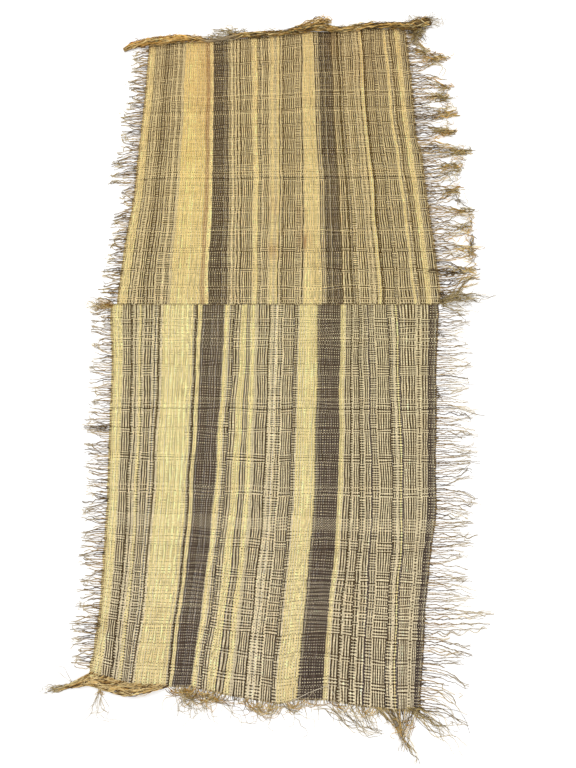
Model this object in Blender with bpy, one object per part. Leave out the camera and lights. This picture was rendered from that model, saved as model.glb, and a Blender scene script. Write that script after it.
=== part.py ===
"""Raffia mat: two striped raffia panels sewn end to end, with rolled ends and fringes.

The mat lies flat on the floor. X runs across the mat, Y along its warp with the rolled
heading at +Y, and Z is up. The origin is on the floor, under the middle of the bounding box.
"""

import math
import random

import bmesh
import bpy
from mathutils import Vector

MM = 0.001
COLLECTION_NAME = "raffia_mat"

# Thicknesses and gaps, in millimetres
GAP = 0.3
PANEL_THICKNESS = 2.0

# Fringe: a backing strip with flat tapered locks, in millimetres and shares
BACKING_WIDTH = 3.0
LOCK_THICKNESS = 1.6
LOCK_ROOT_WIDTH = 4.4
LOCK_ROOM_SHARE = 0.6
LOCK_BEND_WIDTH_SHARE = 0.75
LOCK_TIP_WIDTH = 1.4
LOCK_TIP_SPACING = 3.2
BEND_SHARE = 0.42
OUTER_LOCK_SHORTER = 0.12
OUTER_LOCK_VARIATION = 0.1

# Twisted rolls: sides of a section, height over width, depth and turn of the strand ridges
ROLL_SIDES = 10
ROLL_FLATNESS = 0.8
ROLL_CENTRE_SHARE = 0.72
RIDGE_DEPTH = 0.1
ROLL_STRANDS = 3
TWIST_PITCH = 75.0
SEAM_TWIST_PITCH = 24.0
ROLL_STEP = 7.0
SEAM_STEP = 9.0
TASSEL_STEP = 3.5

# Plan of the panels, in millimetres from the middle of the seam, which runs along y = 0.
# Side edges: (y, x of the edge), from the seam outwards
SEAM_EDGE = 2.1
UPPER_LEFT_EDGE = [
    (SEAM_EDGE, -305), (20, -304), (130, -298), (229, -287), (316, -285), (474, -279), (598, -278),
]
UPPER_RIGHT_EDGE = [
    (SEAM_EDGE, 312), (49, 311), (171, 303), (240, 297), (342, 294), (361, 284), (491, 282), (638, 276),
]
LOWER_LEFT_EDGE = [
    (-SEAM_EDGE, -316), (-26, -314), (-128, -304), (-258, -300), (-368, -295), (-546, -294),
    (-602, -298), (-648, -304),
]
LOWER_RIGHT_EDGE = [
    (-SEAM_EDGE, 308), (-27, 306), (-130, 295), (-199, 292), (-326, 282), (-384, 281),
    (-465, 265), (-556, 250), (-615, 245), (-705, 233),
]
# End edges: (x, y of the edge), from left to right
HEADING_EDGE = [
    (-278, 598), (-212, 608), (-151, 608), (-63, 619), (12, 625), (69, 635), (138, 635),
    (199, 643), (257, 643), (276, 638),
]
NEAR_EDGE = [
    (-304, -648), (-236, -666), (-168, -669), (-138, -669), (-81, -681), (6, -695), (36, -689),
    (81, -689), (129, -697), (190, -705), (233, -705),
]

# Lines that the rolls lie against beyond the panels' corners: (x, y)
HEADING_BEYOND_LEFT = [(-331, 584), (-300, 594)]
HEADING_BEYOND_RIGHT = [(300, 641), (331, 650)]
NEAR_BEYOND_LEFT = [(-375, -671), (-340, -660), (-322, -655)]

# Radius along each roll: (x, radius)
HEADING_RADII = [
    (-331, 3), (-312, 5.5), (-279, 7.5), (-212, 6.5), (-152, 5.5), (-122, 7.5), (-95, 5.5), (12, 5.5),
    (69, 7), (100, 9), (118, 8), (135, 5.5), (199, 6), (258, 7), (290, 10), (312, 11), (324, 9), (331, 5),
]
NEAR_ROLL_RADII = [
    (-375, 2.2), (-345, 3.2), (-325, 5), (-304, 7.5), (-270, 8.2), (-233, 8), (-187, 6), (-168, 3.5),
]

# Seam cord with a tuft at each end: (x, y, radius)
SEAM_ROUTE = [
    (-360, -9, 3.5), (-348, -6, 8), (-332, -3, 8.5), (-323, 0, 3.5), (-317, 0, 1.5), (313, 0, 1.5),
    (320, 2, 3.5), (334, 5, 6.5), (354, 9, 8), (376, 14, 8), (390, 16, 6), (400, 13, 2.5),
]

# Knotted bunch of warp ends under the near edge: (x, y, radius)
TASSEL_ROUTE = [(186, -708.4, 6), (196, -726, 6.5), (206, -742, 5), (214, -757, 3.5), (228, -781, 1.5)]

# Clumps of fringe: (place along the edge, reach, lean of the tip along the edge, locks in it)
UPPER_LEFT_CLUMPS = [
    (568, 34, -10, 4), (532, 33, -4, 3), (501, 40, -2, 3), (456, 34, -5, 4), (412, 48, 0, 4),
    (364, 41, 0, 4), (316, 49, -9, 4), (277, 52, -9, 3), (234, 26, -4, 4), (184, 33, -9, 4),
    (136, 30, -2, 3), (99, 31, -2, 3), (68, 35, -2, 3), (34, 38, -4, 3),
]
UPPER_RIGHT_CLUMPS = [
    (590, 45, -12, 3), (552, 73, 13, 4), (506, 87, -13, 4), (466, 74, 0, 3), (422, 96, 5, 5),
    (382, 74, 0, 3), (345, 100, -10, 4), (288, 80, 9, 4), (231, 74, 14, 4), (198, 91, 0, 3),
    (158, 86, 0, 4), (114, 88, 0, 4), (68, 78, 4, 5),
]
LOWER_LEFT_CLUMPS = [
    (-44, 38, 4, 4), (-84, 34, 2, 3), (-121, 43, 0, 4), (-165, 41, -2, 3), (-197, 40, 0, 3),
    (-240, 48, 7, 4), (-273, 44, 0, 3), (-309, 45, 0, 3), (-346, 38, 2, 4), (-386, 41, -2, 3),
    (-432, 40, -3, 4), (-468, 40, -3, 3), (-504, 39, 0, 3), (-542, 35, -2, 3), (-576, 48, 0, 3),
    (-600, 39, 0, 2), (-622, 33, -5, 2),
]
LOWER_RIGHT_CLUMPS = [
    (-42, 59, 4, 4), (-82, 62, -2, 4), (-121, 62, -2, 3), (-159, 64, 4, 4), (-208, 72, -7, 4),
    (-251, 74, -4, 3), (-284, 78, -5, 3), (-323, 67, 12, 4), (-365, 77, -12, 4), (-401, 64, -3, 3),
    (-432, 73, 2, 3), (-463, 63, 5, 3), (-490, 71, -13, 3), (-522, 87, -6, 3), (-570, 107, 0, 4),
    (-610, 78, -17, 4), (-655, 74, -31, 3), (-686, 72, -40, 2),
]
NEAR_CLUMPS = [
    (-154, 19, 16, 2), (-122, 25, 12, 3), (-97, 28, 4, 2), (-65, 50, -20, 3), (-32, 55, -26, 2),
    (-5, 34, -11, 3), (24, 55, 11, 3), (78, 40, -15, 3), (113, 34, 39, 3), (137, 43, 44, 2),
    (156, 42, 34, 2),
]
CORNER_CLUMPS = [(211, 42, 46, 2), (225, 52, 56, 2)]

# Side fringes: (name, panel edge, side, clumps, ends of the backing along the edge, seed)
LEFT, RIGHT = -1, 1
SIDE_FRINGES = [
    ("fringe_upper_left", UPPER_LEFT_EDGE, LEFT, UPPER_LEFT_CLUMPS, (14, 582), 11),
    ("fringe_upper_right", UPPER_RIGHT_EDGE, RIGHT, UPPER_RIGHT_CLUMPS, (22, 612), 12),
    ("fringe_lower_left", LOWER_LEFT_EDGE, LEFT, LOWER_LEFT_CLUMPS, (-632, -26), 13),
    ("fringe_lower_right", LOWER_RIGHT_EDGE, RIGHT, LOWER_RIGHT_CLUMPS, (-700, -22), 14),
]
# Fringes below the near edge, left and right of the tassel: (name, clumps, ends of the backing, seed)
NEAR_FRINGES = [
    ("fringe_bottom", NEAR_CLUMPS, (-162, 172), 15),
    ("fringe_corner", CORNER_CLUMPS, (204, 232), 16),
]

# Colour and roughness of each sub-part
FINISHES = {
    "upper_panel": ((0.47, 0.36, 0.18), 0.75),
    "lower_panel": ((0.50, 0.41, 0.22), 0.75),
    "seam_cord": ((0.45, 0.29, 0.09), 0.7),
    "top_roll": ((0.36, 0.23, 0.08), 0.7),
    "bottom_roll": ((0.48, 0.32, 0.11), 0.7),
    "tassel": ((0.48, 0.32, 0.11), 0.7),
    "fringe_upper_left": ((0.40, 0.30, 0.16), 0.8),
    "fringe_upper_right": ((0.38, 0.28, 0.14), 0.8),
    "fringe_lower_left": ((0.40, 0.31, 0.18), 0.8),
    "fringe_lower_right": ((0.36, 0.28, 0.17), 0.8),
    "fringe_bottom": ((0.45, 0.33, 0.16), 0.8),
    "fringe_corner": ((0.45, 0.33, 0.16), 0.8),
}


def read_table(rows, place):
    """Value of a two-column table at a place, in straight lines between its rows."""
    rows = sorted(rows)
    if place <= rows[0][0]:
        return rows[0][1]
    for (before, low), (after, high) in zip(rows, rows[1:]):
        if place <= after:
            return low + (high - low) * (place - before) / (after - before)
    return rows[-1][1]


def make_material(name):
    colour, roughness = FINISHES[name]
    material = bpy.data.materials.new(name + "_finish")
    material.use_nodes = True
    shader = material.node_tree.nodes["Principled BSDF"]
    shader.inputs["Base Color"].default_value = (*colour, 1.0)
    shader.inputs["Roughness"].default_value = roughness
    shader.inputs["Metallic"].default_value = 0.0
    material.diffuse_color = (*colour, 1.0)
    return material


def add_object(name, data, collection):
    piece = bpy.data.objects.new(name, data)
    piece.data.materials.append(make_material(name))
    collection.objects.link(piece)
    return piece


def flat_outline(name, outline, thickness, collection):
    """Flat piece on the floor: a filled 2D curve with half its thickness on each side."""
    curve = bpy.data.curves.new(name, "CURVE")
    curve.dimensions = "2D"
    curve.fill_mode = "BOTH"
    curve.extrude = thickness * MM / 2
    spline = curve.splines.new("POLY")
    spline.points.add(len(outline) - 1)
    for point, (x, y) in zip(spline.points, outline):
        point.co = (x * MM, y * MM, 0.0, 1.0)
    spline.use_cyclic_u = True
    piece = add_object(name, curve, collection)
    piece.location.z = thickness * MM / 2
    return piece


def panel(name, left_edge, right_edge, end_edge, collection):
    """Woven panel: up its left edge from the seam, along its end, and back down the right edge."""
    up_left = [(x, y) for y, x in left_edge]
    along_end = list(end_edge[1:-1])
    down_right = [(x, y) for y, x in reversed(right_edge)]
    return flat_outline(name, up_left + along_end + down_right, PANEL_THICKNESS, collection)


def clump_spans(clumps, start, end):
    """Stretch of the edge that each clump's roots take, half way to its neighbours."""
    places = [clump[0] for clump in clumps]
    bounds = [start] + [(a + b) / 2 for a, b in zip(places, places[1:])] + [end]
    return list(zip(bounds, bounds[1:]))


def lock_outline(root, tip, reach, length, width):
    """Outline of one lock as (along, out) points, up one side and down the other.

    The locks of a clump lean together: each follows the line from its root to its tip at the
    clump's reach, with one bend half way, and ends at its own length.
    """
    bend = root + (tip - root) * BEND_SHARE
    bend_width = width * LOCK_BEND_WIDTH_SHARE
    end = bend + (tip - bend) * (length / reach - 0.5) * 2
    rising = [
        (root - width / 2, BACKING_WIDTH),
        (bend - bend_width / 2, BACKING_WIDTH + reach / 2),
        (end - LOCK_TIP_WIDTH / 2, BACKING_WIDTH + length),
    ]
    falling = [
        (end + LOCK_TIP_WIDTH / 2, BACKING_WIDTH + length),
        (bend + bend_width / 2, BACKING_WIDTH + reach / 2),
        (root + width / 2, BACKING_WIDTH),
    ]
    return rising + falling


def comb_outline(clumps, backing, seed):
    """Outline of a fringe's outer side as (along, out) points: backing strip and its locks."""
    start, end = backing
    rng = random.Random(seed)
    clumps = sorted(clumps)
    points = [(start, BACKING_WIDTH)]
    for (place, reach, lean, count), (low, high) in zip(clumps, clump_spans(clumps, start, end)):
        room = (high - low) / count
        clear_reach = reach - BACKING_WIDTH
        for index in range(count):
            root = low + room * (index + 0.5)
            off_centre = index - (count - 1) / 2
            tip = place + lean + off_centre * LOCK_TIP_SPACING
            length = clear_reach
            if abs(off_centre) > 0.5:
                length *= 1 - OUTER_LOCK_SHORTER * abs(off_centre) - OUTER_LOCK_VARIATION * rng.random()
            width = min(LOCK_ROOT_WIDTH, room * LOCK_ROOM_SHARE)
            points += lock_outline(root, tip, clear_reach, length, width)
    points.append((end, BACKING_WIDTH))
    return points


def comb(name, edge, clumps, backing, seed, place_at, collection):
    """Fringe beside an edge. place_at turns a distance along it, and one out from it, into (x, y)."""
    start, end = backing
    inner = sorted(along for along, _ in edge if start < along < end)
    outline = [place_at(along, GAP + out) for along, out in comb_outline(clumps, backing, seed)]
    outline += [place_at(along, GAP) for along in [end] + inner[::-1] + [start]]
    return flat_outline(name, outline, LOCK_THICKNESS, collection)


def side_fringe(name, edge, side, clumps, backing, seed, collection):
    """Fringe of weft ends beside a panel."""
    def place_at(along, out):
        return read_table(edge, along) + side * out, along
    return comb(name, edge, clumps, backing, seed, place_at, collection)


def near_fringe(name, clumps, backing, seed, collection):
    """Fringe of warp ends below the near edge."""
    def place_at(along, out):
        return along, read_table(NEAR_EDGE, along) - out
    return comb(name, NEAR_EDGE, clumps, backing, seed, place_at, collection)


def twisted_roll(name, route, pitch, collection):
    """Loft of unlike sections along (x, y, radius) points, ridged by its strands and flat below."""
    shape = bmesh.new()
    rings = []
    travelled = 0.0
    for index, (x, y, radius) in enumerate(route):
        before = Vector(route[max(index - 1, 0)][:2])
        after = Vector(route[min(index + 1, len(route) - 1)][:2])
        across = (after - before).normalized().orthogonal()
        if index:
            travelled += (Vector((x, y)) - before).length
        turn = 2 * math.pi * travelled / pitch
        centre_height = radius * ROLL_CENTRE_SHARE
        ring = []
        for side in range(ROLL_SIDES):
            angle = 2 * math.pi * side / ROLL_SIDES
            bulge = radius * (1 + RIDGE_DEPTH * math.cos(ROLL_STRANDS * angle - turn))
            sideways = bulge * math.cos(angle)
            height = max(centre_height + ROLL_FLATNESS * bulge * math.sin(angle), 0.0)
            ring.append(shape.verts.new((
                (x + across.x * sideways) * MM, (y + across.y * sideways) * MM, height * MM,
            )))
        rings.append(ring)
    for ring, following in zip(rings, rings[1:]):
        for side in range(ROLL_SIDES):
            after = (side + 1) % ROLL_SIDES
            shape.faces.new((ring[side], ring[after], following[after], following[side]))
    shape.faces.new(rings[0])
    shape.faces.new(rings[-1])
    bmesh.ops.recalc_face_normals(shape, faces=shape.faces)
    mesh = bpy.data.meshes.new(name)
    shape.to_mesh(mesh)
    shape.free()
    mesh.shade_smooth()
    return add_object(name, mesh, collection)


def width_at_panel(radius):
    """Half width of a roll's section where it meets the upper corner of the panel's edge."""
    widest = radius * (1 + RIDGE_DEPTH)
    rise = max(radius * ROLL_CENTRE_SHARE - PANEL_THICKNESS, 0.0)
    return widest * math.sqrt(1 - (rise / (widest * ROLL_FLATNESS)) ** 2)


def roll_against_edge(edge, radii, outward):
    """Route of a roll that lies beside an edge, as (x, y, radius) points."""
    start, end = radii[0][0], radii[-1][0]
    steps = round((end - start) / ROLL_STEP)
    route = []
    for index in range(steps + 1):
        x = start + (end - start) * index / steps
        radius = read_table(radii, x)
        slope = (read_table(edge, x + ROLL_STEP) - read_table(edge, x - ROLL_STEP)) / (2 * ROLL_STEP)
        clearance = (width_at_panel(radius) + GAP) * math.hypot(1, slope)
        route.append((x, read_table(edge, x) + outward * clearance, radius))
    return route


def route_through(rows, step):
    """Route through (x, y, radius) rows, with points no more than a step apart between them."""
    route = [rows[0]]
    for (x0, y0, radius0), (x1, y1, radius1) in zip(rows, rows[1:]):
        count = math.ceil((x1 - x0) / step)
        for index in range(1, count + 1):
            share = index / count
            radius = radius0 + (radius1 - radius0) * share
            route.append((x0 + (x1 - x0) * share, y0 + (y1 - y0) * share, radius))
    return route


def centre_on_floor(collection):
    """Move every piece so that the origin is below the middle of the bounding box."""
    bpy.context.view_layer.update()
    graph = bpy.context.evaluated_depsgraph_get()
    points = []
    for piece in collection.objects:
        evaluated = piece.evaluated_get(graph)
        mesh = evaluated.to_mesh()
        points += [evaluated.matrix_world @ vertex.co for vertex in mesh.vertices]
        evaluated.to_mesh_clear()
    middle_x = (min(p.x for p in points) + max(p.x for p in points)) / 2
    middle_y = (min(p.y for p in points) + max(p.y for p in points)) / 2
    for piece in collection.objects:
        piece.location.x -= middle_x
        piece.location.y -= middle_y


def main():
    for existing in list(bpy.data.objects):
        bpy.data.objects.remove(existing, do_unlink=True)
    mat = bpy.data.collections.new(COLLECTION_NAME)
    bpy.context.scene.collection.children.link(mat)

    panel("upper_panel", UPPER_LEFT_EDGE, UPPER_RIGHT_EDGE, HEADING_EDGE, mat)
    panel("lower_panel", LOWER_LEFT_EDGE, LOWER_RIGHT_EDGE, NEAR_EDGE, mat)

    for name, edge, side, clumps, backing, seed in SIDE_FRINGES:
        side_fringe(name, edge, side, clumps, backing, seed, mat)
    for name, clumps, backing, seed in NEAR_FRINGES:
        near_fringe(name, clumps, backing, seed, mat)

    heading_line = HEADING_BEYOND_LEFT + HEADING_EDGE + HEADING_BEYOND_RIGHT
    twisted_roll("top_roll", roll_against_edge(heading_line, HEADING_RADII, 1), TWIST_PITCH, mat)
    near_line = NEAR_BEYOND_LEFT + NEAR_EDGE
    twisted_roll("bottom_roll", roll_against_edge(near_line, NEAR_ROLL_RADII, -1), TWIST_PITCH, mat)
    twisted_roll("seam_cord", route_through(SEAM_ROUTE, SEAM_STEP), SEAM_TWIST_PITCH, mat)
    twisted_roll("tassel", route_through(TASSEL_ROUTE, TASSEL_STEP), TWIST_PITCH, mat)

    centre_on_floor(mat)


main()
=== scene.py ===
"""Looks of the striped raffia mat: woven strands, fringes, rolled ends, floor, light and camera.

Plan tables and strands are in millimetres from the middle of the seam, with x across the mat, y up it
and z up from the floor. Colours are sRGB from 0 to 255.
"""
import math

import bpy
import numpy as np
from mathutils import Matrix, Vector


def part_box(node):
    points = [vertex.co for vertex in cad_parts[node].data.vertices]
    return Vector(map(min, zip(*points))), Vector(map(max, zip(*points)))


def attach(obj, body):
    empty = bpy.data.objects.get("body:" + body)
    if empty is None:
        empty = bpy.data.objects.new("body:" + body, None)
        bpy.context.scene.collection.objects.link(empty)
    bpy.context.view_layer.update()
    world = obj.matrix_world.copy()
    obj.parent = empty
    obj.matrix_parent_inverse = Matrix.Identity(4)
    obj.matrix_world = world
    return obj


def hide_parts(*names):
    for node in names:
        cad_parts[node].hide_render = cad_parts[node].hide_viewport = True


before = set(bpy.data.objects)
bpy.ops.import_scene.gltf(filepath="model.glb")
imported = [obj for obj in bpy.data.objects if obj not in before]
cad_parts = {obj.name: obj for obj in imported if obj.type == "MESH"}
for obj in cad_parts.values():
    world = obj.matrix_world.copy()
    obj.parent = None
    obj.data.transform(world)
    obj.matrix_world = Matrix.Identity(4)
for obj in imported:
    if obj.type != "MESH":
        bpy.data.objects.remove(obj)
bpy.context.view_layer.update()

MM = 0.001
SEAM_EDGE = 2.1
SEAM_JOIN = 0.2
UP, DOWN = 1, -1
LEFT, RIGHT = -1, 1

# Side edges of the panels: (y, x)
UPPER_LEFT_EDGE = [
    (SEAM_EDGE, -305), (20, -304), (130, -298), (229, -287), (316, -285), (474, -279), (598, -278),
]
UPPER_RIGHT_EDGE = [
    (SEAM_EDGE, 312), (49, 311), (171, 303), (240, 297), (342, 294), (361, 284), (491, 282), (638, 276),
]
LOWER_LEFT_EDGE = [
    (-SEAM_EDGE, -316), (-26, -314), (-128, -304), (-258, -300), (-368, -295), (-546, -294),
    (-602, -298), (-648, -304),
]
LOWER_RIGHT_EDGE = [
    (-SEAM_EDGE, 308), (-27, 306), (-130, 295), (-199, 292), (-326, 282), (-384, 281),
    (-465, 265), (-556, 250), (-615, 245), (-705, 233),
]
# End edges: (x, y)
HEADING_EDGE = [
    (-278, 598), (-212, 608), (-151, 608), (-63, 619), (12, 625), (69, 635), (138, 635),
    (199, 643), (257, 643), (276, 638),
]
NEAR_EDGE = [
    (-304, -648), (-236, -666), (-168, -669), (-138, -669), (-81, -681), (6, -695), (36, -689),
    (81, -689), (129, -697), (190, -705), (233, -705),
]
# The rolls go on beyond the panels' corners
HEADING_LINE = [(-331, 584), (-300, 594)] + HEADING_EDGE + [(300, 641), (331, 650)]
NEAR_LINE = [(-375, -675), (-357, -672), (-337, -665), (-318, -656)] + NEAR_EDGE

# Warp stripes from left to right: (kind, share of the width where it ends at the seam, and at the far end)
UPPER_STRIPES = [
    ("light", 0.031, 0.028), ("mixed", 0.153, 0.132), ("dusky", 0.1625, 0.144), ("yellow", 0.2565, 0.2226),
    ("tan", 0.268, 0.238), ("light", 0.280, 0.2495), ("dark", 0.341, 0.305), ("mixed", 0.418, 0.398),
    ("light", 0.4315, 0.4184), ("mixed", 0.468, 0.470), ("light", 0.478, 0.482), ("mixed", 0.486, 0.496),
    ("light", 0.493, 0.505), ("mixed", 0.576, 0.5965), ("light", 0.630, 0.633), ("mixed", 0.6467, 0.655),
    ("dark", 0.697, 0.706), ("mixed", 0.727, 0.726), ("dusky", 0.736, 0.742), ("mixed", 0.805, 0.809),
    ("light", 0.818, 0.8226), ("dusky", 0.850, 0.850), ("mixed", 0.917, 0.908), ("light", 0.9233, 0.9186),
    ("mixed", 0.956, 0.953), ("light", 0.970, 0.969), ("mixed", 0.984, 0.985), ("dusky", 1.0, 1.0),
]
LOWER_STRIPES = [
    ("light", 0.033, 0.032), ("mixed", 0.085, 0.082), ("light", 0.090, 0.093), ("mixed", 0.148, 0.127),
    ("dusky", 0.1585, 0.1356), ("yellow", 0.251, 0.227), ("mixed", 0.265, 0.238), ("light", 0.276, 0.247),
    ("dark", 0.3476, 0.305), ("light", 0.361, 0.322), ("dusky", 0.3985, 0.3526), ("light", 0.417, 0.380),
    ("dark", 0.421, 0.385), ("mixed", 0.428, 0.407), ("light", 0.442, 0.4237), ("mixed", 0.5756, 0.563),
    ("light", 0.633, 0.627), ("dark", 0.701, 0.702), ("light", 0.7165, 0.7155), ("mixed", 0.780, 0.822),
    ("dark", 0.787, 0.830), ("mixed", 0.868, 0.918), ("light", 0.873, 0.922), ("dark", 0.879, 0.929),
    ("mixed", 0.970, 0.977), ("dark", 1.0, 1.0),
]

# Strand counts, crossing depth in millimetres, and widths as shares of the pitch
UPPER_COUNTS = (280, 344)
LOWER_COUNTS = (275, 308)
CROSSING_RISE = 0.40
SHEET_MIDDLE = 0.95
# Width of a warp where it lies over a weft and where it dips under one, and width of the wefts by zone
TIGHT, CLOSE, HALF, OPEN = (1.34, 0.62), (1.30, 0.66), (1.26, 0.80), (1.18, 0.86)
WARP_WIDTHS = {"light": CLOSE, "yellow": TIGHT, "tan": TIGHT, "dark": HALF, "dusky": HALF, "mixed": OPEN}
WEFT_WIDTH = {"light": 0.62, "yellow": 0.58, "dark": 0.64, "tan": 0.62, "dusky": 0.68, "mixed": 0.70}
# Orders of dark (1) and light (0) strands in the mixed stripes, with their weights, and their runs
WARP_ORDERS = [("01", 0.78), ("001", 0.09), ("011", 0.06), ("0011", 0.02), ("00101", 0.05)]
WEFT_ORDERS = [("01", 0.84), ("0", 0.03), ("001", 0.13)]
WARP_RUNS, UPPER_WEFT_RUNS, LOWER_WEFT_RUNS = (4, 10), (5, 14), (4, 17)
LONG_RUN, SHORT_RUN = 1.45, 0.6
MORE_DARK_IN_DUSKY, DARK_IN_DARK = 0.3, 0.86
PLAIN_KINDS = ("light", "yellow", "tan")
# How far strands stray from even spacing, as shares of the pitch, and how far they sway
WARP_STRAY, WEFT_STRAY = 0.13, 0.12
FINE_SWAY = {UP: 0.24, DOWN: 0.20}
# Fullness of a panel's wefts, and the few bold ones
WEFT_FULLNESS = {UP: 1.0, DOWN: 0.82}
BOLD_SHARE, BOLD_EXTRA, BOLD_LIGHT = 0.10, 0.45, 1.12
# Spread of the brightness of dark (True) and light strands, its least value, and shares for some warps:
# painted shade and painted light on alternate runs of plain warps, for the shade between round strands, and
# light strands in the dark stripes
WARP_SPREAD = {True: 0.18, False: 0.09}
WEFT_SPREAD = {True: 0.24, False: 0.07}
DIMMEST = 0.5
PAINTED_SHADE_WARP, PAINTED_LIGHT_WARP, LIGHT_IN_DARK = 0.90, 1.06, 0.4
SPECKLE, STREAK = 0.10, 0.10
WOVEN_DARKEST, LOOSE_DARKEST, LIGHTEST = 0.005, 0.004, 0.95
# Swell of the cloth: height, reach from the middle, and how it fades towards the outline and the seam
SWELL, HIGHEST_SWELL = 1.3, 2.2
SWELL_REACH = (300, 640)
SWELL_FADE, SEAM_FADE = 120, 60
# Offsets along an edge over which it is evened out, for the strands inside and for the outline
SMOOTHING = (-75, -50, -25, 0, 25, 50, 75)
ROUNDING = (-18, -9, 0, 9, 18)
# Lowest height of a strand, step between strands in the noise, and half width of a lane in the UV map
LOWEST = 0.05
ID_STEP = 1.7
BAKED_HALF = 0.38

# Material values shared by all the raffia
RAFFIA_SPECULAR = 0.12
STREAK_STRETCH = 0.12
BLOTCH_SCALE = 22.0
BLOTCH_TINT = (0.70, 0.55, 0.36, 1.0)
CROWN_SHARE = 1.6
# Colour sockets of a Mix node
MIX_A, MIX_B, MIX_RESULT = 6, 7, 2

# Strand colours up the mat, at the places in PLACES (y)
PLACES = (-700, -350, -5, 5, 320, 640)
TONES = {
    "light": [
        (234, 213, 155), (232, 213, 150), (229, 210, 144), (230, 206, 141), (232, 205, 138), (234, 202, 134),
    ],
    "yellow": [
        (236, 213, 154), (236, 218, 153), (233, 214, 149), (232, 208, 141), (240, 209, 130), (240, 201, 126),
    ],
    "cream": [
        (224, 207, 171), (218, 202, 163), (213, 197, 154), (216, 196, 148), (216, 194, 142), (214, 190, 138),
    ],
    "dark": [(77, 65, 59), (81, 69, 61), (89, 76, 61), (74, 61, 47), (75, 61, 46), (77, 62, 43)],
    "umber": [(74, 58, 36), (76, 60, 35), (76, 59, 29), (72, 54, 20), (76, 55, 17), (80, 57, 18)],
    "tan": [
        (190, 164, 118), (192, 166, 120), (190, 162, 112), (188, 156, 104), (186, 150, 96), (184, 144, 88),
    ],
}
# Brown stains: (x, y, half length up the mat, half width, strength)
STAINS = [
    (-8, 205, 22, 9, 0.22), (-9, 113, 16, 9, 0.40), (52, 133, 18, 11, 0.42), (42, 188, 20, 8, 0.16),
    (-150, 470, 90, 26, 0.16), (20, 98, 10, 6, 0.20), (180, 560, 60, 50, 0.12), (110, 610, 30, 12, 0.28),
]
STAIN_TINT = (150, 92, 48)

# Fringe clumps: (place along the edge, reach, lean of the tip along the edge)
UPPER_LEFT_CLUMPS = [
    (568, 34, -10), (532, 33, -4), (501, 40, -2), (456, 34, -5), (412, 48, 0), (364, 41, 0),
    (316, 49, -9), (277, 52, -9), (234, 26, -4), (184, 33, -9), (136, 30, -2), (99, 31, -2),
    (68, 35, -2), (34, 38, -4),
]
UPPER_RIGHT_CLUMPS = [
    (590, 45, -12), (552, 73, 13), (506, 87, -13), (466, 74, 0), (422, 96, 5), (382, 74, 0),
    (345, 100, -10), (288, 80, 9), (231, 74, 14), (198, 91, 0), (158, 86, 0), (114, 88, 0), (68, 78, 4),
]
LOWER_LEFT_CLUMPS = [
    (-44, 38, 4), (-84, 34, 2), (-121, 43, 0), (-165, 41, -2), (-197, 40, 0), (-240, 48, 7),
    (-273, 44, 0), (-309, 45, 0), (-346, 38, 2), (-386, 41, -2), (-432, 40, -3), (-468, 40, -3),
    (-504, 39, 0), (-542, 35, -2), (-576, 48, 0), (-600, 39, 0), (-622, 33, -5),
]
LOWER_RIGHT_CLUMPS = [
    (-42, 59, 4), (-82, 62, -2), (-121, 62, -2), (-159, 64, 4), (-208, 72, -7), (-251, 74, -4),
    (-284, 78, -5), (-323, 67, 12), (-365, 77, -12), (-401, 64, -3), (-432, 73, 2), (-463, 63, 5),
    (-490, 71, -13), (-522, 87, -6), (-570, 107, 0), (-610, 78, -17), (-655, 74, -31), (-686, 72, -40),
]
# Tangles along the near edge: (x, y, half width, depth, strands)
NEAR_TANGLES = [
    (-152, -680, 13, 7, 24), (-122, -689, 26, 12, 60), (-98, -694, 13, 8, 20), (-62, -694, 14, 5, 5),
    (-32, -697, 13, 10, 20), (-10, -701, 11, 10, 18), (30, -702, 6, 9, 10), (31, -714, 4, 8, 4),
    (70, -696, 14, 5, 5), (108, -702, 16, 6, 8), (148, -706, 15, 7, 12),
]

# Colours of loose strands: (colour, weight)
ROOT_TONES = [((150, 122, 78), 0.32), ((120, 95, 56), 0.28), ((176, 150, 106), 0.26), ((86, 66, 38), 0.14)]
OLIVE_TONES = [
    ((172, 150, 98), 0.34), ((140, 120, 74), 0.30), ((200, 180, 130), 0.21), ((102, 84, 52), 0.15),
]
STRAW_TONES = [
    ((188, 170, 134), 0.36), ((160, 142, 108), 0.34), ((212, 198, 168), 0.16), ((122, 104, 74), 0.14),
]
GOLD_TONES = [((208, 168, 96), 0.36), ((170, 130, 66), 0.26), ((228, 200, 140), 0.24), ((112, 82, 40), 0.14)]
HEM_TONES = [((240, 212, 152), 0.40), ((214, 176, 108), 0.26), ((156, 118, 62), 0.18), ((78, 54, 28), 0.20)]
WISP_TONES = [((208, 196, 172), 0.5), ((184, 168, 140), 0.35), ((150, 132, 104), 0.15)]
KNOT_TONES = [((112, 92, 58), 0.36), ((84, 67, 42), 0.34), ((144, 122, 80), 0.18), ((58, 46, 31), 0.12)]
DUSK_TONE = (146, 128, 100)
# Painted shade: colour of the dark cores in the rolls, which darken the gaps between their strands
CORE_SHADE_TONE = (98, 76, 44)
SEAM_TONE = (84, 67, 42)

# Depth of a fringe root inside the edge, spacing of stubs and stitches, and width of the seam's cord
ROOT_DEPTH, STUB_SPACING, STITCH_SPACING, SEAM_CORD_WIDTH = 4, 1.9, 4.3, 2.6

# Radius along each roll: (x, radius)
HEADING_RADII = [
    (-331, 3), (-312, 6), (-279, 8), (-212, 7.5), (-172, 6), (-152, 3.2), (-122, 3.2), (-100, 5.5),
    (12, 5.5), (69, 7), (100, 8), (118, 6), (135, 5), (199, 6), (258, 7), (290, 10), (312, 11), (324, 9),
    (331, 5),
]
NEAR_ROLL_RADII = [
    (-375, 2.2), (-345, 3.2), (-325, 5), (-304, 7.5), (-270, 8.2), (-233, 8), (-187, 6), (-168, 3.5),
]
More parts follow.
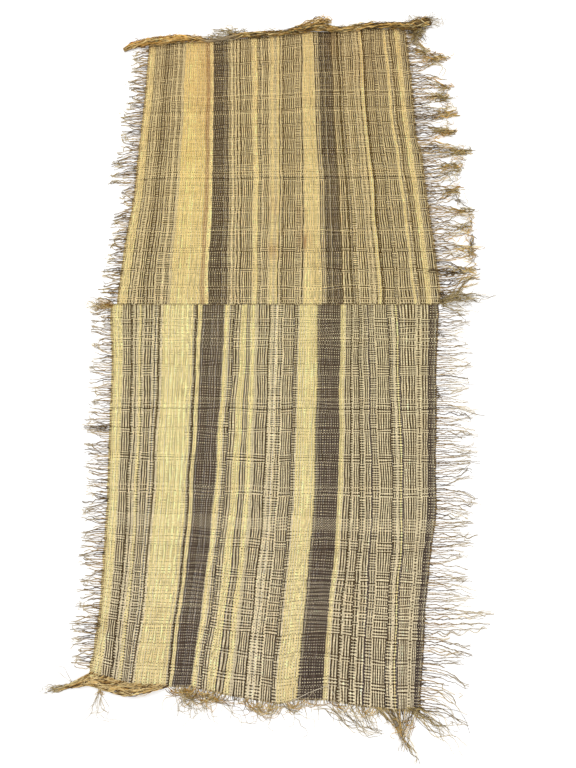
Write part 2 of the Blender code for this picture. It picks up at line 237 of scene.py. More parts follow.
# How far the gathered warp ends reach below the near edge: (x, depth)
HEM_DEPTHS = [
    (-375, 1), (-357, 2), (-336, 4), (-309, 15), (-284, 17), (-268, 17), (-243, 16), (-218, 15),
    (-202, 12), (-187, 6), (-175, 2),
]
ROLL_FLATNESS = 0.8
ROLL_CENTRE_SHARE = 0.72
ROLL_STEP = 4.0
ROLL_OVERLAP = 1.2
CORE_SIDES = 8
LOOSENESS = 0.20

# Studio: half side of the floor, strength of the world, and (name, place, size, power) of each light
FLOOR_HALF = 15.0
WHITE = (1.0, 1.0, 1.0, 1.0)
WORLD_STRENGTH = 0.75
LIGHTS = [("key", (-1.3, 1.2, 2.6), 1.6, 38.0), ("fill", (1.8, -1.0, 2.4), 2.2, 18.0)]

# Camera: distance in metres, elevation and view angle in degrees, and the plan point that it looks at
CAMERA_DISTANCE = 1.2214
CAMERA_ELEVATION = 74.0
VIEW_ANGLE = 60.0
SENSOR = 36.0
LOOK_AT = (20.9, -157.3)

low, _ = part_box("upper_panel")
SHIFT_X = low.x - UPPER_LEFT_EDGE[0][1] * MM
SHIFT_Y = low.y - SEAM_EDGE * MM


def linear(colour):
    """Linear RGB of an sRGB colour given from 0 to 255."""
    share = np.asarray(colour, float) / 255
    return np.where(share <= 0.04045, share / 12.92, ((share + 0.055) / 1.055) ** 2.4)


def read_table(rows, place):
    """Values of a two-column table at places, in straight lines between its rows."""
    rows = sorted(rows)
    return np.interp(place, [row[0] for row in rows], [row[1] for row in rows])


def smooth(share):
    share = np.clip(share, 0, 1)
    return share * share * (3 - 2 * share)


class Waves:
    """Smooth random field over the plan: sine waves of about the given lengths."""

    def __init__(self, seed, length_x, length_y, count=7):
        rng = np.random.default_rng(seed)
        sign = rng.choice([-1.0, 1.0], count)
        self.kx = sign * math.tau / (length_x * rng.uniform(0.7, 1.8, count))
        self.ky = math.tau / (length_y * rng.uniform(0.7, 1.8, count))
        self.phase = rng.uniform(0, math.tau, count)
        self.scale = 1 / math.sqrt(count / 2)

    def __call__(self, x, y):
        total = 0.0
        for kx, ky, phase in zip(self.kx, self.ky, self.phase):
            total = total + np.sin(kx * x + ky * y + phase)
        return total * self.scale


wide_sway = Waves(21, 70, 130)
fine_sway = Waves(22, 14, 34)
wide_bend = Waves(23, 130, 70)
fine_bend = Waves(24, 30, 14)
swelling = Waves(25, 230, 260, 5)
mottle = Waves(26, 26, 60)


def ground(x, y):
    """Height of the mat's gentle swell above the floor, nothing at its outline and low at the seam."""
    reach_x, reach_y = SWELL_REACH
    inside = smooth((reach_x - np.abs(x)) / SWELL_FADE) * smooth((reach_y - np.abs(y)) / SWELL_FADE)
    inside = inside * smooth(np.abs(y) / SEAM_FADE + 0.2)
    return SWELL * inside * np.clip(1 + swelling(x, y), 0, HIGHEST_SWELL)


class Piece:
    """Points, faces and strand data gathered into one mesh, with the random draws that make them."""

    def __init__(self, seed=0):
        self.rng = np.random.default_rng(seed)
        self.points, self.quads, self.colours, self.fibres, self.baked = [], [], [], [], []
        self.count = 0

    def add(self, points, quads, colours, fibres, baked=None):
        self.points.append(points)
        self.quads.append(quads + self.count)
        self.colours.append(np.broadcast_to(colours, (len(points), 3)))
        self.fibres.append(fibres)
        self.count += len(points)
        if baked is not None:
            self.baked.append(baked)

    def finish(self, name, material, slot, *replaced):
        points = np.concatenate(self.points) * MM
        points[:, 0] += SHIFT_X
        points[:, 1] += SHIFT_Y
        quads = np.concatenate(self.quads)
        mesh = bpy.data.meshes.new(name)
        mesh.from_pydata(points, [], quads)
        colours = np.column_stack([np.concatenate(self.colours), np.ones(len(points))])
        for attribute, kind, field, values in (
            ("strand", "FLOAT_COLOR", "color", colours),
            ("fibre", "FLOAT_VECTOR", "vector", np.concatenate(self.fibres)),
        ):
            mesh.attributes.new(attribute, kind, "POINT").data.foreach_set(field, values.ravel())
        if self.baked:
            layer = mesh.uv_layers.new(name="OFBake")
            layer.data.foreach_set("uv", np.concatenate(self.baked)[quads.ravel()].ravel())
        mesh.shade_smooth()
        mesh.materials.append(material)
        piece = bpy.data.objects.new(name, mesh)
        bpy.context.scene.collection.objects.link(piece)
        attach(piece, "root")
        if replaced:
            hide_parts(*replaced)
        return piece


# Materials

def new_material(name):
    material = bpy.data.materials.new(name)
    material.use_nodes = True
    return material, material.node_tree.nodes["Principled BSDF"]


def feed(node, inputs):
    """Gives a node's inputs, by name or number, their values or the sockets that feed them."""
    for name, value in inputs.items():
        if isinstance(value, bpy.types.NodeSocket):
            node.id_data.links.new(value, node.inputs[name])
        else:
            node.inputs[name].default_value = value


def add_node(material, kind, inputs, output=0, **settings):
    """One of the outputs of a new shader node."""
    node = material.node_tree.nodes.new("ShaderNode" + kind)
    for name, value in settings.items():
        setattr(node, name, value)
    feed(node, inputs)
    return node.outputs[output]


def ranged(material, value, least, most, low, high):
    """A value from least to most, carried over to the range from low to high."""
    return add_node(material, "MapRange", {
        "Value": value, "From Min": least, "From Max": most, "To Min": low, "To Max": high,
    })


def raffia(name, streaks, contrast, roughness, relief, blotch):
    """Split raffia: strand colour, long fibre streaks, faint blotches, and relief across the strand."""
    material, shader = new_material(name)
    strand = add_node(material, "Attribute", {}, "Color", attribute_name="strand")
    fibre = add_node(material, "Attribute", {}, "Vector", attribute_name="fibre")
    stretched = add_node(
        material, "VectorMath", {0: fibre, 1: (streaks, STREAK_STRETCH, 1.0)}, operation="MULTIPLY",
    )
    streak = add_node(
        material, "TexNoise", {"Vector": stretched, "Scale": 1.0, "Detail": 3.0, "Roughness": 0.6}, "Fac",
    )
    shade = ranged(material, streak, 0.25, 0.75, 1.0 - contrast, 1.0 + contrast * 0.6)
    streaked = add_node(material, "VectorMath", {0: strand, "Scale": shade}, operation="SCALE")

    place = add_node(material, "TexCoord", {}, "Object")
    patch = add_node(material, "TexNoise", {"Vector": place, "Scale": BLOTCH_SCALE, "Detail": 4.0}, "Fac")
    share = ranged(material, patch, 0.5, 0.8, 0.0, blotch)
    browned = add_node(
        material, "Mix", {"Factor": share, MIX_A: streaked, MIX_B: BLOTCH_TINT}, MIX_RESULT,
        data_type="RGBA", blend_type="MULTIPLY",
    )

    across = add_node(material, "SeparateXYZ", {0: fibre}, "X")
    crown = add_node(material, "Math", {0: across, 1: 0.5}, operation="PINGPONG")
    height = add_node(material, "Math", {0: crown, 1: CROWN_SHARE, 2: streak}, operation="MULTIPLY_ADD")
    bump = add_node(material, "Bump", {"Height": height, "Strength": 0.6, "Distance": relief * MM}, "Normal")
    feed(shader, {
        "Base Color": browned,
        "Roughness": ranged(material, streak, 0.2, 0.8, roughness - 0.12, roughness + 0.14),
        "Specular IOR Level": RAFFIA_SPECULAR,
        "Normal": bump,
    })
    return material


weave_finish = raffia("split_raffia_weave", 4.0, contrast=0.16, roughness=0.62, relief=0.25, blotch=0.30)
fringe_finish = raffia("loose_raffia", 3.0, contrast=0.28, roughness=0.66, relief=0.20, blotch=0.35)
twist_finish = raffia("twisted_raffia", 5.0, contrast=0.40, roughness=0.58, relief=0.35, blotch=0.55)


# Woven panels

def alternating(orders, runs, main, rng):
    """Endless dark and light strands: runs of an order, with a strand's colour repeated between two runs.

    Runs whose dark strands fall on the main places (0 even, 1 odd) are longer than the others.
    """
    tone = bool(rng.integers(2))
    place = 0
    while True:
        order = orders[int(rng.choice(len(orders), p=[weight for _, weight in orders]))][0]
        steps = [mark == "1" for mark in order]
        if steps[0] != tone:
            steps.reverse()
        stretch = LONG_RUN if (place + steps[0] + 1) % 2 == main else SHORT_RUN
        for index in range(max(round(rng.integers(*runs) * stretch), 2)):
            tone = steps[index % len(steps)]
            place += 1
            yield tone


def stripe_shares(stripes, count, rng):
    """For each warp: kind, shares of the width at the seam and at the end, whether dark, and whether it gets
    painted shade.
    """
    kinds, seam, end, dark, painted_shade = [], [], [], [], []
    before_seam = before_end = 0.0
    made = 0
    mixing = alternating(WARP_ORDERS, WARP_RUNS, 0, rng)
    for kind, after_seam, after_end in stripes:
        target = round(count * (after_seam + after_end) / 2)
        strands = max(target - made, 1)
        for index in range(strands):
            share = (index + 0.5) / strands
            kinds.append(kind)
            seam.append(before_seam + (after_seam - before_seam) * share)
            end.append(before_end + (after_end - before_end) * share)
            tone = next(mixing)
            # The same runs give the painted shade on plain warps
            painted_shade.append(tone)
            if kind == "dusky":
                tone = tone or rng.random() < MORE_DARK_IN_DUSKY
            if kind == "dark":
                tone = rng.random() < DARK_IN_DARK
            dark.append(tone and kind not in PLAIN_KINDS)
        made += strands
        before_seam, before_end = after_seam, after_end
    return kinds, np.array(seam), np.array(end), dark, painted_shade


def tone_at(name, y):
    """Linear colour of a tone at heights up the mat."""
    table = np.array([linear(colour) for colour in TONES[name]])
    return np.stack([np.interp(y, PLACES, table[:, channel]) for channel in range(3)], axis=-1)


def stained(colours, x, y):
    """Colours with the brown stains laid over them."""
    tint = linear(STAIN_TINT)
    for place_x, place_y, long, wide, strength in STAINS:
        far = ((x - place_x) / wide) ** 2 + ((y - place_y) / long) ** 2
        share = (strength * np.exp(-far * 0.7) * (1 + 0.4 * mottle(x * 3, y)))[..., None]
        share = np.clip(share, 0, 0.85)
        colours = colours * (1 - share) + np.minimum(colours, tint) * share
    return colours


def grained(colours, streaks, x, y, rng):
    """Colours of woven strands with faint streaks, specks and the stains."""
    speckle = rng.normal(0, SPECKLE, x.shape)
    return stained(colours * (1 + STREAK * streaks + speckle)[..., None], x, y)


def bands(piece, middle, offset, along, ids, colours, darkest, baked=None):
    """Adds flat strands: rows of middle points, with a pair of points at the offset to each side."""
    rows, places = along.shape
    points = np.stack([middle - offset, middle + offset], 2)
    points[..., 2] = np.maximum(points[..., 2], LOWEST)
    starts = 2 * (np.arange(rows)[:, None] * places + np.arange(places - 1))
    quads = np.stack([starts, starts + 1, starts + 3, starts + 2], -1).reshape(-1, 4)
    none = 0 * along
    fibre = np.stack([np.stack([side + none, along, ids * ID_STEP + none], -1) for side in (0, 1)], 2)
    colours = np.repeat(np.clip(colours, darkest, LIGHTEST)[:, :, None, :], 2, axis=2)
    piece.add(points.reshape(-1, 3), quads, colours.reshape(-1, 3), fibre.reshape(-1, 3), baked)


def ribbons(piece, x, y, z, half, lengthwise, colours, first_id):
    """Adds one woven strand for each row of the arrays, with its own lane in the UV map."""
    rows, places = x.shape
    none = 0 * half
    offset = np.stack([half, none, none] if lengthwise else [none, -half, none], -1)
    along = np.concatenate([np.zeros((rows, 1)), np.hypot(np.diff(x), np.diff(y)).cumsum(1)], 1)
    ids = (np.arange(rows) + first_id)[:, None]
    column = (np.arange(rows)[:, None] + 0.5) / rows + 0 * x
    run = (np.arange(places) + 0.5) / places + 0 * x
    lanes = (column - BAKED_HALF / rows, column + BAKED_HALF / rows)
    baked = np.stack([np.stack([lane, run] if lengthwise else [run, 1 - lane], -1) for lane in lanes], 2)
    middle = np.stack([x, y, z], -1)
    bands(piece, middle, offset, along, ids, colours, WOVEN_DARKEST, baked.reshape(-1, 2))


def edge_at(edge, along, offsets=ROUNDING):
    """Place of a side edge, evened out over some offsets along it."""
    return sum(read_table(edge, along + offset) for offset in offsets) / len(offsets)


def side_to_side(left, right, y, share):
    """Places across the panel: on its own edges at the sides, and on smoother ones inside."""
    near, far = edge_at(left, y, SMOOTHING), edge_at(right, y, SMOOTHING)
    inside = near + (far - near) * share
    near, far = edge_at(left, y), edge_at(right, y)
    outline = near + (far - near) * share
    return outline + (inside - outline) * smooth(share * (1 - share) / 0.04)


def lay(x, y, first):
    """Which crossings of each strand are even, and its heights: over, under, and level at its ends."""
    strands, places = x.shape
    even = (np.arange(strands)[:, None] + np.arange(-1, places - 1)) % 2 == 0
    rise = np.where(even, first, -first)
    rise[:, 0] = rise[:, -1] = 0
    return even, SHEET_MIDDLE + ground(x, y) + rise


def weave(name, direction, edges, stripes, counts, weft_runs, seed):
    """One panel of plain weave: a piece for its warps and one for its wefts."""
    left, right, end = edges
    rng = np.random.default_rng(seed)
    warps, wefts = counts
    kinds, seam_share, end_share, warp_dark, painted_shade = stripe_shares(stripes, warps, rng)
    warps = len(kinds)
    stray = rng.normal(0, WARP_STRAY, warps) / warps
    seam_share, end_share = seam_share + stray, end_share + stray
    mean_end = np.mean([abs(y) for _, y in end])
    fine = FINE_SWAY[direction]

    def crossings(from_seam, at_end, rows):
        """Plan places of warps (shares of the width) at rows (shares of the length)."""
        share = from_seam[:, None] + (at_end - from_seam)[:, None] * rows
        level = direction * (SEAM_JOIN + (mean_end - SEAM_JOIN) * rows) + 0 * share
        y = level
        for _ in range(2):
            x = side_to_side(left, right, y, share)
            reach = np.abs(read_table(end, x)) - mean_end
            y = level + direction * reach * rows**2.5
        free = smooth(4 * share * (1 - share) / 0.3)
        inner = smooth(4 * rows * (1 - rows) / 0.12)
        move_x = free * (0.6 * wide_sway(x, y) + fine * fine_sway(x, y)) + (1 - free) * 0.3 * fine_sway(x, y)
        move_y = inner * (0.8 * wide_bend(x, y) + fine * 0.8 * fine_bend(x, y))
        return x + move_x, y + move_y

    # Warps, with an end point on the seam and on the far edge
    rows = (np.arange(wefts) + 0.5 + rng.normal(0, WEFT_STRAY, wefts)) / wefts
    rows = np.concatenate([[0], rows, [1]])
    x, y = crossings(seam_share, end_share, rows)
    even, z = lay(x, y, CROSSING_RISE)
    pitch = np.abs(np.gradient(x, axis=0))
    over, under = (np.array([WARP_WIDTHS[kind][level] for kind in kinds])[:, None] for level in (0, 1))
    fullness = np.where(even, over, under)
    fullness = fullness * (1 + rng.normal(0, 0.05, warps))[:, None] * (1 + 0.04 * mottle(x * 9, y))
    colours = np.empty(x.shape + (3,))
    for index, (kind, dark) in enumerate(zip(kinds, warp_dark)):
        plain = kind in PLAIN_KINDS
        tone = kind if plain else "cream"
        if dark:
            tone = "dark" if kind == "dark" else "umber"
        brightness = max(1 + rng.normal(0, WARP_SPREAD[dark]), DIMMEST)
        # Painted shade and painted light: alternate runs of plain warps are darker and lighter, standing in
        # for the shade between round strands
        if plain:
            brightness *= PAINTED_SHADE_WARP if painted_shade[index] else PAINTED_LIGHT_WARP
        if kind == "dark" and not dark:
            brightness *= LIGHT_IN_DARK
        colours[index] = tone_at(tone, y[index]) * brightness
    warp = Piece()
    colours = grained(colours, mottle(x * 12, y), x, y, rng)
    ribbons(warp, x, y, z, pitch * fullness / 2, True, colours, 0)
    warp_piece = warp.finish(name + "_warps", weave_finish, name + "_weave", name + "_panel")

    # Wefts, with an end point on each side edge
    at_seam, at_end = (np.concatenate([[0.0], share, [1.0]]) for share in (seam_share, end_share))
    x, y = crossings(at_seam, at_end, rows[1:-1])
    x, y = x.T, y.T
    _, z = lay(x, y, -CROSSING_RISE)
    mixing = alternating(WEFT_ORDERS, weft_runs, 1, rng)
    weft_dark = [next(mixing) for _ in range(wefts)]
    zone = np.array([WEFT_WIDTH[kind] for kind in kinds])
    zone = np.convolve(np.pad(zone, 1, mode="edge"), [0.25, 0.5, 0.25], mode="valid")
    zone = np.concatenate([zone[:1], zone, zone[-1:]]) * WEFT_FULLNESS[direction]
    pitch = np.abs(np.gradient(y, axis=0))
    bold = 1 + BOLD_EXTRA * (rng.random(wefts) < BOLD_SHARE)
    fullness = zone * (bold * (1 + rng.normal(0, 0.12, wefts)))[:, None]
    fullness = fullness * (1 + 0.06 * mottle(x, y * 9))
    colours = np.empty(x.shape + (3,))
    for index, dark in enumerate(weft_dark):
        brightness = max(1 + rng.normal(0, WEFT_SPREAD[dark]), DIMMEST)
        if bold[index] > 1 and not dark:
            brightness *= BOLD_LIGHT
        colours[index] = tone_at("umber" if dark else "cream", y[index]) * brightness
    weft = Piece()
    colours = grained(colours, mottle(x, y * 12), x, y, rng)
    ribbons(weft, x, y, z, pitch * fullness / 2, False, colours, 1000)
    return warp_piece, weft.finish(name + "_wefts", weave_finish, name + "_weave")


# Loose strands

def pick(tones, rng):
    """One of some weighted colours, in linear RGB, a little lighter or darker."""
    weights = np.array([weight for _, weight in tones])
    choice = tones[int(rng.choice(len(tones), p=weights / weights.sum()))][0]
    return linear(choice) * (1 + rng.normal(0, 0.12))


def unit(vectors):
    return vectors / np.maximum(np.linalg.norm(vectors, axis=-1, keepdims=True), 1e-6)


def length_along(line):
    return np.concatenate([[0], np.linalg.norm(np.diff(line, axis=0), axis=1).cumsum()])


def strip(piece, line, widths, colours, strand_id, tilt=0.0, facing=(0.0, 0.0, 1.0)):
    """Adds a flat strand along a line of points, with its broad side towards facing."""
    line = np.asarray(line, float)
    count = len(line)
    step = unit(np.gradient(line, axis=0))
    across = unit(np.cross(step, facing))
    rising = np.cross(across, step)
    tilt = np.broadcast_to(tilt, count)[:, None]
    half = (across * np.cos(tilt) + rising * np.sin(tilt)) * np.broadcast_to(widths, count)[:, None] / 2
    colours = np.broadcast_to(colours, (count, 3))
    bands(piece, line[None], half[None], length_along(line)[None], strand_id, colours[None], LOOSE_DARKEST)


def shade_core(piece, line, radii):
    """Adds a dark round core along a line of points: painted shade in the gaps between a roll's strands."""
    step = unit(np.gradient(line, axis=0))
    side = unit(np.cross(step, (0.0, 0.0, 1.0)))
    upward = np.cross(side, step)
    corners = np.arange(CORE_SIDES)
    angle = (math.tau * corners / CORE_SIDES)[:, None]
    ring = side[:, None] * np.cos(angle) + upward[:, None] * np.sin(angle)
    points = line[:, None] + ring * radii[:, None, None]
    points[..., 2] = np.maximum(points[..., 2], LOWEST)
    first = (np.arange(len(line) - 1) * CORE_SIDES)[:, None]
    base, following = first + corners, first + (corners + 1) % CORE_SIDES
    quads = np.stack([base, following, following + CORE_SIDES, base + CORE_SIDES], -1).reshape(-1, 4)
    along = length_along(line)[:, None] + 0.0 * corners
    fibre = np.stack([corners + 0 * along, along, 0 * along], -1).reshape(-1, 3)
    piece.add(points.reshape(-1, 3), quads, linear(CORE_SHADE_TONE), fibre)


def curve_through(knots, step):
    """Smooth line through some points, with points about a step apart."""
    knots = np.asarray(knots, float)
    ends = np.vstack([2 * knots[0] - knots[1], knots, 2 * knots[-1] - knots[-2]])
    line = []
    for a, b, c, d in zip(ends, ends[1:], ends[2:], ends[3:]):
        count = max(2, round(np.linalg.norm(c - b) / step))
        t = (np.arange(count) / count)[:, None]
        bend, twist = 2 * a - 5 * b + 4 * c - d, 3 * b - a - 3 * c + d
        line.append(0.5 * (2 * b + (c - a) * t + bend * t**2 + twist * t**3))
    return np.vstack(line + [knots[-1:]])


def ripple(length, size, span, rng):
    """Random side-to-side waves along a strand, at places given by their length along it."""
    return rng.normal(0, size) * np.sin(math.tau * (length / rng.uniform(*span) + rng.random()))


def sweep(piece, knots, width, tones, strand_id, crimp=0.5, step=4.0, taper=0.55):
    """A loose strand through some points (x, y, height), with small waves, thinner at its end."""
    rng = piece.rng
    line = curve_through(knots, step)
    far = length_along(line)
    run = unit(np.gradient(line[:, :2], axis=0))
    wave = (ripple(far, crimp, (9, 16), rng) + ripple(far, crimp * 1.6, (22, 50), rng)) * smooth(far / 12)
    line[:, 0] += run[:, 1] * wave
    line[:, 1] -= run[:, 0] * wave
    line[:, 2] = np.maximum(line[:, 2], width * 0.4)
    share = far / far[-1]
    tilt = 0.8 * np.sin(math.tau * (far / rng.uniform(14, 40) + rng.random()))
    strip(piece, line, width * (1 - taper * share**1.5), pick(tones, rng), strand_id, tilt)


def tangle(piece, centre, size, count, tones, strand_id, width=(0.8, 1.4), height=5.0):
    """Short strands that wander about inside an oval round a plan place; size is its half sides."""
    rng = piece.rng
    for index in range(count):
        angle = rng.uniform(0, math.tau)
        turn = rng.normal(0, 0.35)
        x, y = rng.uniform(-0.7, 0.7, 2)
        knots = []
        for _ in range(int(rng.integers(4, 7))):
            knots.append((centre[0] + size[0] * x, centre[1] + size[1] * y, rng.uniform(0.6, height)))
            x += 0.5 * math.cos(angle)
            y += 0.5 * math.sin(angle)
            if math.hypot(x, y) > 1.05:
                angle += 1.3
            angle += turn + rng.normal(0, 0.45)
        sweep(piece, knots, rng.uniform(*width), tones, strand_id + index, 0.3, 3.2)


def sweeps(piece, count, starts, ends, bow, width, tones, strand_id, height=4.0, crimp=0.6):
    """Loose strands from one plan area to another: each area is (x, y, half width, half length)."""
    rng = piece.rng
    for index in range(count):
        first, last = (np.array(area[:2]) + rng.uniform(-1, 1, 2) * area[2:] for area in (starts, ends))
        last = first + (last - first) * rng.uniform(0.55, 1.0)
        run = last - first
        sideways = np.array([-run[1], run[0]])
        middle = first + run * rng.uniform(0.35, 0.65) + sideways * rng.normal(bow, 0.10)
        far = 0.5 * (middle + last) + sideways * rng.normal(bow * 0.6, 0.08)
        knots = [
            (*first, rng.uniform(1.2, 2.4)), (*middle, rng.uniform(1, height)),
            (*far, rng.uniform(0.6, height)), (*last, rng.uniform(0.4, height * 0.5)),
        ]
        sweep(piece, knots, rng.uniform(*width), tones, strand_id + index, crimp)


def loose_piece(name, replaced, finish, slot, seed, *rows):
    """A piece of loose strands: each row is a function that adds some, and its values."""
    piece = Piece(seed)
    for make, *values in rows:
        make(piece, *values)
    return piece.finish(name, finish, slot, replaced)


# Side fringes

def clump_spans(clumps, start, end):
    places = [clump[0] for clump in clumps]
    bounds = [start] + [(a + b) / 2 for a, b in zip(places, places[1:])] + [end]
    return list(zip(bounds, bounds[1:]))


def lock(piece, place_at, root, clump, look, strand_id):
    """Two strands of fringe that cling together, drawn a little to the clump's line, and part at the tip."""
    rng = piece.rng
    place, reach, lean = clump
    length = reach * min(rng.choice(look["lengths"]) * rng.normal(1, 0.05), 1.07)
    count = max(6, int(length / 3.7))
    share = np.linspace(0, 1, count)
    out = (length + ROOT_DEPTH) * share - ROOT_DEPTH
    gone = np.clip(out / reach, 0, 1.2)
    gather = look["gather"] * rng.uniform(0.3, 1.1)
    axis = place + lean * gone**1.2
    along = root + (axis - root) * gather * smooth((gone - look["from"]) / 0.6)
    along = along + lean * 0.35 * gone**1.5 + rng.normal(0, look["drift"]) * gone**1.6
    wave = ripple(out, look["wave"], (20, 44), rng) + ripple(out, look["crimp"], (7, 12), rng)
    along = along + wave * smooth(gone / 0.2)
    if rng.random() < look["hook"]:
        bent = np.clip((share - 0.66) / 0.34, 0, 1) ** 2
        along = along + rng.choice([-1, 1]) * rng.uniform(4, 11) * bent
        out = out - rng.uniform(2, 11) * bent
    width = rng.uniform(*look["width"])
    lift = rng.uniform(0.1, look["lift"])
    root_tone = pick(look["root_tones"], rng)
    tip_tone = pick(look["tip_tones"], rng)
    mixing = smooth((share - look["turn"]) / 0.45)[:, None]
    for number in range(2):
        phase = rng.uniform(0, math.tau)
        apart = rng.normal(0, look["part"]) * smooth((share - 0.45) / 0.55)
        apart = apart + look["cling"] * np.sin(math.tau * out / rng.uniform(9, 15) + phase)
        raised = lift * smooth(gone / 0.35) * (1 - 0.6 * smooth(gone - 0.1))
        height = 0.9 * (1 - smooth(gone / 0.3)) + 0.3 + raised
        keep = count if rng.random() < 0.75 else max(5, int(count * rng.uniform(0.6, 0.95)))
        x, y = place_at(along + apart, out)
        line = np.stack([x, y, height + 0.4 * number], -1)
        colours = (root_tone * (1 - mixing) + tip_tone * mixing) * rng.uniform(0.85, 1.15)
        tilt = 0.7 * np.sin(math.tau * out / rng.uniform(14, 30) + phase)
        widths = width * (1 - 0.35 * share**2)
        strip(piece, line[:keep], widths[:keep], colours[:keep], strand_id + number, tilt[:keep])


def fringe(where, edge, side, clumps, ends, spacing, look, seed):
    """Fringe along a side edge: locks of loose strands, tangled at the tips of some clumps."""
    def place_at(along, out):
        return edge_at(edge, along) + side * out, along

    piece = Piece(seed)
    rng = piece.rng
    clumps = sorted(clumps)
    strand_id = seed * 1000
    for clump, (low_end, high_end) in zip(clumps, clump_spans(clumps, *ends)):
        for root in np.arange(low_end, high_end, spacing):
            lock(piece, place_at, root + rng.normal(0, 0.6), clump, look, strand_id)
            strand_id += 2
            if rng.random() < look["root_knots"]:
                x, y = place_at(root + rng.normal(0, 1, 3), np.array([-2.0, 1.0, rng.uniform(3, 7)]))
                line = np.column_stack([x, y, [2.0, 2.1, 1.0]])
                strip(piece, line, np.array([1.6, 1.8, 0.9]), pick(KNOT_TONES, rng), strand_id)
                strand_id += 1
        place, reach, lean = clump
        tip = place_at(place + lean, reach * look["tip_at"])
        count = int(look["tip_count"] * rng.uniform(0.2, 1.9))
        tangle(piece, tip, look["tip_size"], count, look["tip_tones"], strand_id, look["tip_width"])
        strand_id += 40
    for (place, reach, lean), (next_place, next_reach, next_lean) in zip(clumps, clumps[1:]):
        for index in range(int(rng.integers(0, 2 * look["links"] + 1))):
            knots = []
            for share in np.linspace(rng.uniform(-0.1, 0.4), rng.uniform(0.6, 1.1), 5):
                along = place + lean + (next_place + next_lean - place - lean) * share + rng.normal(0, 4)
                out = (reach + (next_reach - reach) * share) * rng.uniform(0.62, 0.98)
                knots.append((*place_at(along, out), rng.uniform(0.6, 6)))
            sweep(piece, knots, rng.uniform(0.8, 1.4), look["tip_tones"], strand_id + index)
        strand_id += 20
    for place, out, size, count in look["knots"]:
        tangle(piece, place_at(place, out), size, count, KNOT_TONES, strand_id, height=4.0)
        strand_id += 40
    return piece.finish(where + "_fringe", fringe_finish, "fringe_raffia", "fringe_" + where)


# How each fringe lies. A knot is (place along the edge, distance out, half sizes, strands)
UPPER_LEFT_LOOK = {
    "lengths": [1.0, 1.0, 0.96, 0.9, 0.78, 0.5], "gather": 0.42, "from": 0.2, "drift": 2.0, "wave": 0.9,
    "crimp": 0.4, "hook": 0.18, "width": (1.1, 1.8), "lift": 3.0, "part": 1.2, "cling": 0.5, "turn": 0.45,
    "root_tones": ROOT_TONES, "tip_tones": OLIVE_TONES, "tip_size": (8, 5), "tip_at": 0.8, "tip_count": 3,
    "tip_width": (0.8, 1.4), "links": 0, "root_knots": 0.45,
    "knots": [(296, 4, (5, 5), 8), (184, 7, (8, 6), 12), (68, 5, (7, 5), 8), (25, 7, (7, 6), 10)],
}
LOWER_LEFT_LOOK = {
    **UPPER_LEFT_LOOK, "gather": 0.34, "root_knots": 0.3, "tip_tones": STRAW_TONES, "width": (1.0, 1.6),
    "knots": [(-240, 14, (16, 5), 20), (-438, 4, (6, 4), 5), (-575, 8, (8, 5), 5), (-30, 8, (8, 6), 6)],
}
UPPER_RIGHT_LOOK = {
    **UPPER_LEFT_LOOK, "lengths": [1.0, 0.97, 0.92, 0.8, 0.6], "gather": 0.76, "from": 0.22, "drift": 3.4,
    "wave": 1.8, "crimp": 0.8, "hook": 0.45, "lift": 5.0, "part": 2.0, "turn": 0.3,
    "tip_tones": 2 * OLIVE_TONES + GOLD_TONES, "tip_size": (18, 7), "tip_at": 0.78, "tip_count": 26,
    "tip_width": (1.2, 2.1), "links": 4, "root_knots": 0.7,
    "knots": [(420, 36, (26, 8), 22), (340, 30, (24, 7), 16), (245, 8, (8, 8), 10), (66, 24, (30, 6), 26),
              (128, 70, (5, 24), 14), (18, 6, (8, 6), 12)],
}
LOWER_RIGHT_LOOK = {
    **UPPER_LEFT_LOOK, "lengths": [1.0, 0.95, 0.88, 0.78, 0.6], "gather": 0.4, "from": 0.3, "drift": 3.2,
    "wave": 1.2, "crimp": 0.35, "hook": 0.15, "width": (0.9, 1.35), "lift": 4.0, "part": 2.0, "turn": 0.25,
    "tip_tones": STRAW_TONES, "tip_size": (12, 5), "root_knots": 0.35,
    "knots": [(-60, 5, (6, 6), 6), (-180, 5, (5, 7), 6)],
}
upper_left_fringe, upper_right_fringe, lower_left_fringe, lower_right_fringe = (
    fringe(*values) for values in (
        ("upper_left", UPPER_LEFT_EDGE, LEFT, UPPER_LEFT_CLUMPS, (6, 596), 3.3, UPPER_LEFT_LOOK, 31),
        ("upper_right", UPPER_RIGHT_EDGE, RIGHT, UPPER_RIGHT_CLUMPS, (8, 632), 3.1, UPPER_RIGHT_LOOK, 32),
        ("lower_left", LOWER_LEFT_EDGE, LEFT, LOWER_LEFT_CLUMPS, (-640, -10), 3.5, LOWER_LEFT_LOOK, 33),
        ("lower_right", LOWER_RIGHT_EDGE, RIGHT, LOWER_RIGHT_CLUMPS, (-703, -10), 3.9, LOWER_RIGHT_LOOK, 34),
    )
)


# Near fringe

def edge_stubs(piece, start, end):
    """Short warp ends past the near edge."""
    rng = piece.rng
    for index, x in enumerate(np.arange(start, end, STUB_SPACING)):
        y = read_table(NEAR_EDGE, x)
        far = rng.uniform(2, 8) if rng.random() < 0.75 else rng.uniform(8, 22)
        lean = rng.normal(0, 0.35) * far
        bent = rng.normal(0, 0.2) * far
        knots = [(x, y + 3, 1.3), (x + lean * 0.4 + bent, y - far * 0.5, 1.6), (x + lean, y - far, 0.6)]
        tones = STRAW_TONES if rng.random() < 0.7 else KNOT_TONES
        sweep(piece, knots, rng.uniform(0.9, 1.4), tones, index, 0.2)


